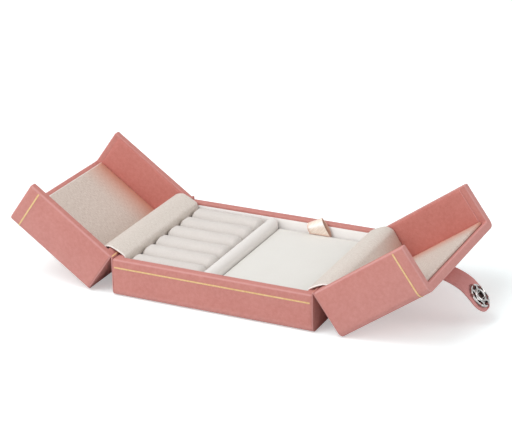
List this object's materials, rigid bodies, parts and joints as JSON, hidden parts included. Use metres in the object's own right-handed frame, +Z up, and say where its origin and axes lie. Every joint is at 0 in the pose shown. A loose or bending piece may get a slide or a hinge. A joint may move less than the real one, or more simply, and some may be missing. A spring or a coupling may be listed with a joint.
{
  "type": "jewelry box",
  "caption": "Flat suede-covered jewelry box with two side-hinged half lids, velvet roll bed, lift-out pad with ribbon and a snap closing strap.",
  "frame": {"origin": "centre of the base's underside, on the table", "axes": "+X towards the lid with the closing strap, +Y to the back, +Z up"},
  "size_m": [0.2159, 0.0802, 0.0469],
  "materials": {
    "pink_suede": "matt brushed suede cloth",
    "gold_foil": "hot-stamped foil",
    "snap_metal": "bright nickel",
    "ivory_velvet": "short-pile velvet",
    "beige_linen": "fine linen weave",
    "white_lining": "flocked paper",
    "satin_ribbon": "satin",
    "grey_board": "raw card"
  },
  "bodies": {
    "base": {"base_bottom_sheet": "grey_board", "base_floor_board": "grey_board", "base_front_wall": "grey_board", "base_back_wall": "grey_board", "base_left_wall": "grey_board", "base_right_wall": "grey_board", "base_cover": "pink_suede", "base_liner": "white_lining", "base_gold_line": "gold_foil", "left_hinge_cover": "pink_suede", "right_hinge_cover": "pink_suede", "left_hinge_lining": "beige_linen", "right_hinge_lining": "beige_linen", "roll_bed": "ivory_velvet", "velvet_roll_1": "ivory_velvet", "velvet_roll_2": "ivory_velvet", "velvet_roll_3": "ivory_velvet", "velvet_roll_4": "ivory_velvet", "velvet_roll_5": "ivory_velvet", "velvet_roll_6": "ivory_velvet", "divider_bar": "ivory_velvet", "pad_front_ledge": "grey_board", "pad_back_ledge": "grey_board", "compartment_cloth": "ivory_velvet"},
    "pad": {"pad_board": "grey_board", "pad_cushion": "ivory_velvet", "ribbon_pull_tab": "satin_ribbon"},
    "left_lid": {"left_lid_panel": "grey_board", "left_lid_front_wall": "grey_board", "left_lid_back_wall": "grey_board", "left_lid_end_wall": "grey_board", "left_lid_cover": "pink_suede", "left_lid_lining": "beige_linen", "left_lid_front_facing": "pink_suede", "left_lid_back_facing": "pink_suede", "left_lid_gold_line": "gold_foil", "snap_stud": "snap_metal"},
    "right_lid": {"right_lid_panel": "grey_board", "right_lid_front_wall": "grey_board", "right_lid_back_wall": "grey_board", "right_lid_end_wall": "grey_board", "right_lid_cover": "pink_suede", "right_lid_lining": "beige_linen", "right_lid_front_facing": "pink_suede", "right_lid_back_facing": "pink_suede", "right_lid_gold_line": "gold_foil", "strap_root": "pink_suede"},
    "strap": {"strap_middle": "pink_suede"},
    "strap_tip": {"strap_end": "pink_suede", "snap_socket": "snap_metal", "snap_spring": "snap_metal"}
  },
  "joints": [
    {"name": "left_lid_hinge", "type": "hinge", "parent": "base", "child": "left_lid", "pos_m": [-0.049, 0, 0.0187], "axis": [0, 1, 0], "range_deg": [0, 144.67], "deforming": ["left_hinge_cover", "left_hinge_lining"]},
    {"name": "right_lid_hinge", "type": "hinge", "parent": "base", "child": "right_lid", "pos_m": [0.049, 0, 0.0187], "axis": [0, -1, 0], "range_deg": [0, 144.67], "deforming": ["right_hinge_cover", "right_hinge_lining"]},
    {"name": "strap_bend", "type": "hinge", "parent": "right_lid", "child": "strap", "pos_m": [0.09248, 0, 0.02066], "axis": [0, -1, 0], "range_deg": [0, 44.5]},
    {"name": "strap_knee", "type": "hinge", "parent": "strap", "child": "strap_tip", "pos_m": [0.1039, 0, 0.01635], "axis": [0, -1, 0], "range_deg": [0, 38.63]},
    {"name": "pad_lift", "type": "slide", "parent": "base", "child": "pad", "axis": [0, 0, 1], "range_m": [0, 0.012]}
  ]
}
